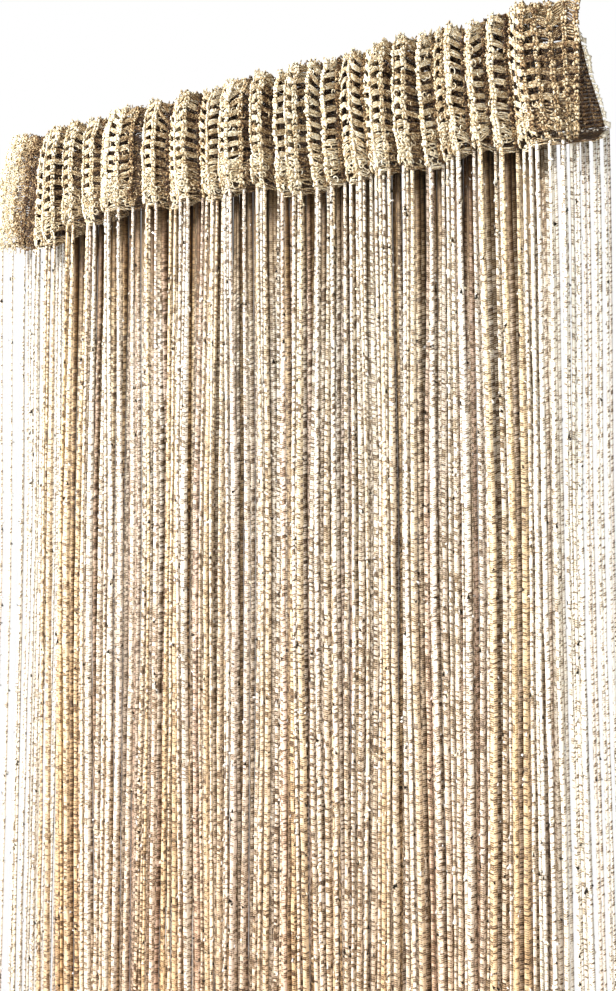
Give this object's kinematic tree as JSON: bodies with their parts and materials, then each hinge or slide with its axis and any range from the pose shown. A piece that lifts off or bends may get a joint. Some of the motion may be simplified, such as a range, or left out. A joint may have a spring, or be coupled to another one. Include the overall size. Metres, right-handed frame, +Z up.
{
  "type": "string curtain",
  "caption": "Gathered open-knit heading band with a rod pocket, and two rows of long chained tinsel strings that hang free below it.",
  "frame": {"origin": "middle of the band's top edge, over the rod's line", "axes": "+Z up along the strings, +X along the rod to the right as seen from the front, -Y towards the front, where the folds stand out"},
  "size_m": [0.6293, 0.0488, 2.002],
  "materials": {
    "band_yarn": "open warp knit of champagne gold yarn, dry and softly glossy",
    "string_yarn": "flat chained cord of champagne yarn with silver tinsel flakes"
  },
  "bodies": {
    "root": {"heading_band": "band_yarn", "string_fringe": "string_yarn", "back_string_fringe": "string_yarn"}
  },
  "joints": []
}
